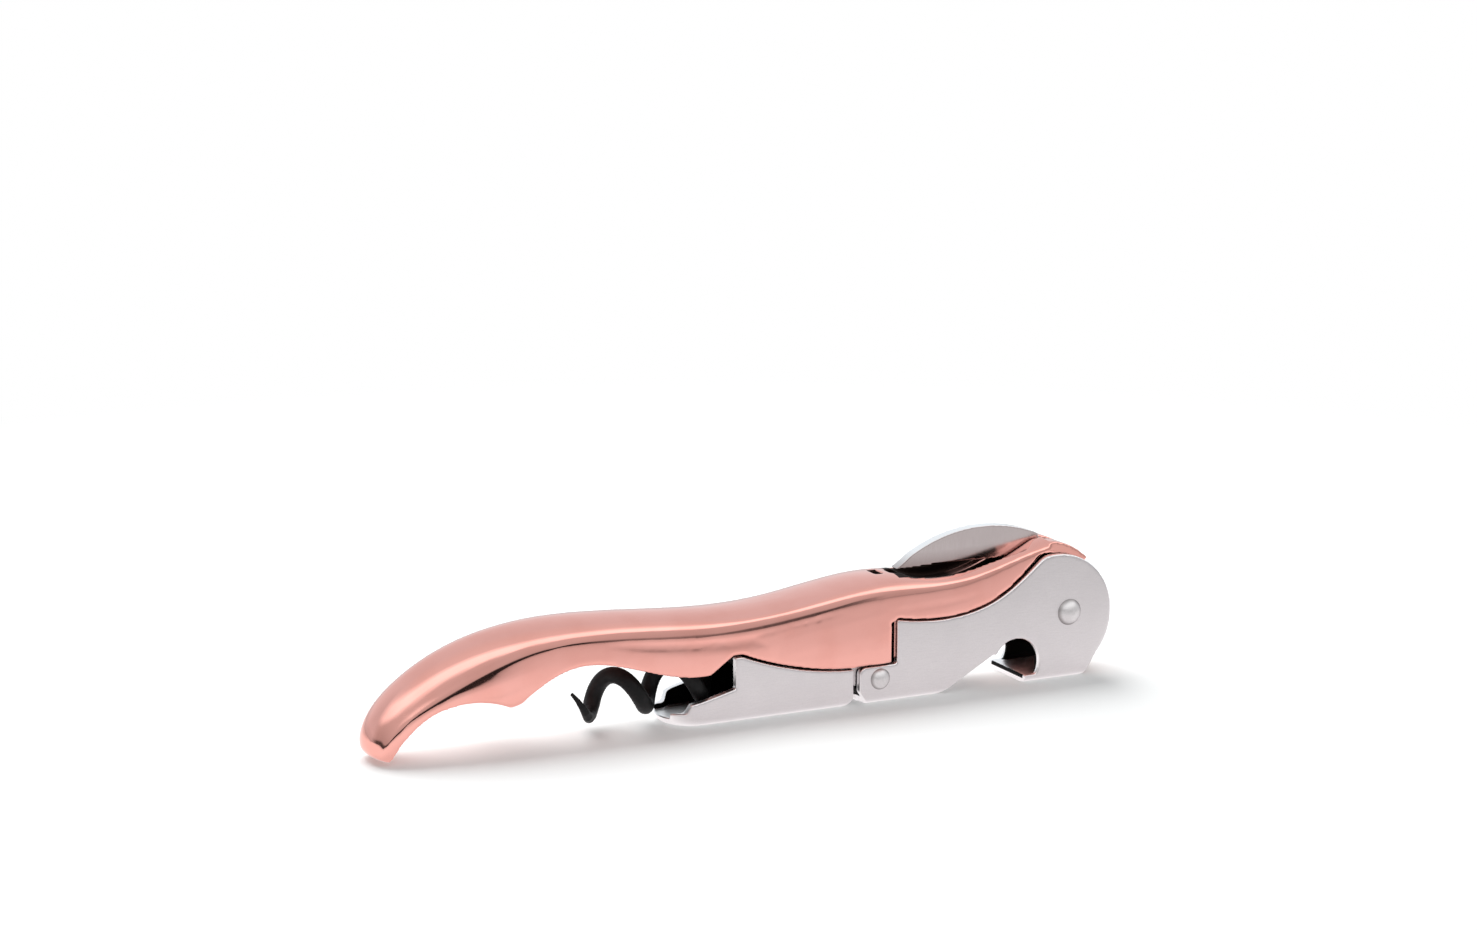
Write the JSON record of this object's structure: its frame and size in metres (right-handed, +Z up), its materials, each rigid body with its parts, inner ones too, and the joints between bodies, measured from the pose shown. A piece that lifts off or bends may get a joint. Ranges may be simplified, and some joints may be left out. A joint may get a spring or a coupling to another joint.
{
  "type": "corkscrew",
  "caption": "Folding two-step lever corkscrew with a copper-plated curved handle, hinged steel lever with cap lifter, black worm and foil blade.",
  "frame": {"origin": "on the table under the middle of the closed tool, which lies on its lever", "axes": "+X along the tool from tail to head, +Y across its width, +Z up"},
  "size_m": [0.1264, 0.0138, 0.0256],
  "materials": {
    "copper_plate": "copper plated and polished",
    "satin_steel": "fine satin",
    "rivet_steel": "tumbled",
    "black_coat": "matt non-stick coat",
    "blade_steel": "polished"
  },
  "bodies": {
    "handle": {"handle": "copper_plate", "worm_pin": "rivet_steel", "blade_pin": "rivet_steel"},
    "lever": {"lever_frame": "satin_steel", "lever_rivet": "rivet_steel", "foot_rivet": "rivet_steel"},
    "foot": {"lever_foot": "satin_steel"},
    "worm": {"worm": "black_coat"},
    "blade": {"foil_blade": "blade_steel"}
  },
  "joints": [
    {"name": "lever_swing", "type": "hinge", "parent": "handle", "child": "lever", "pos_m": [0.0553, 0, 0.011], "axis": [0, -1, 0], "range_deg": [0, 112]},
    {"name": "worm_fold", "type": "hinge", "parent": "handle", "child": "worm", "pos_m": [0.0359, 0, 0.0094], "axis": [0, -1, 0], "range_deg": [0, 90]},
    {"name": "foot_swing", "type": "hinge", "parent": "lever", "child": "foot", "pos_m": [0.0207, 0, 0.004], "axis": [0, -1, 0], "range_deg": [0, 25]},
    {"name": "blade_fold", "type": "hinge", "parent": "handle", "child": "blade", "pos_m": [0.0528, 0, 0.0188], "axis": [0, 1, 0], "range_deg": [0, 115]}
  ],
  "couplings": [
    {"joint": "worm_fold", "follows": "lever_swing", "ratio": 0.8}
  ]
}
